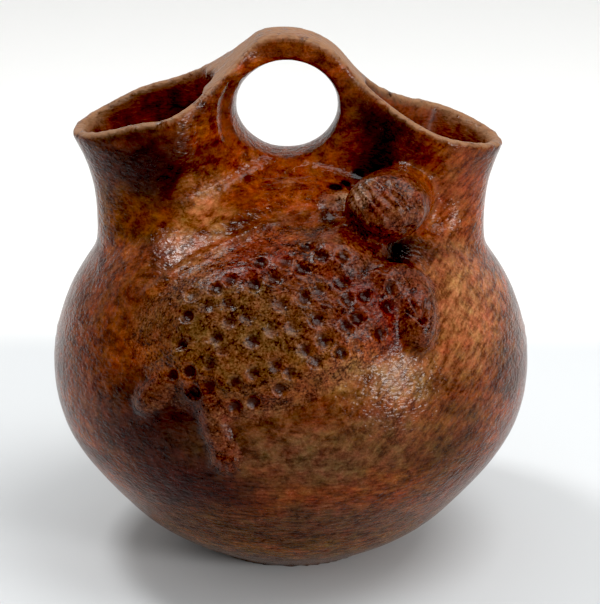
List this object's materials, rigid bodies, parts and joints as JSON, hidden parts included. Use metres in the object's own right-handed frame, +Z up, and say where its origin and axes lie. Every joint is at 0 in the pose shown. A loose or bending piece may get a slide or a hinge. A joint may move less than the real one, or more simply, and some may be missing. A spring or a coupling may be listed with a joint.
{
  "type": "wedding vase",
  "caption": "Hand-built wedding vase: a round hollow belly with two flared spouts joined by a strap handle with a finger hole, and an applied horned toad on the front.",
  "frame": {"origin": "middle of the flat foot, on the ground", "axes": "+Z up, +X from the left spout to the right spout, -Y towards the front with the toad"},
  "size_m": [0.2102, 0.2016, 0.2329],
  "materials": {
    "burnished_earthenware": "burnished and pitch-coated, glossy, reddish brown with darker fire clouds"
  },
  "bodies": {
    "root": {"wedding_vase": "burnished_earthenware"}
  },
  "joints": []
}
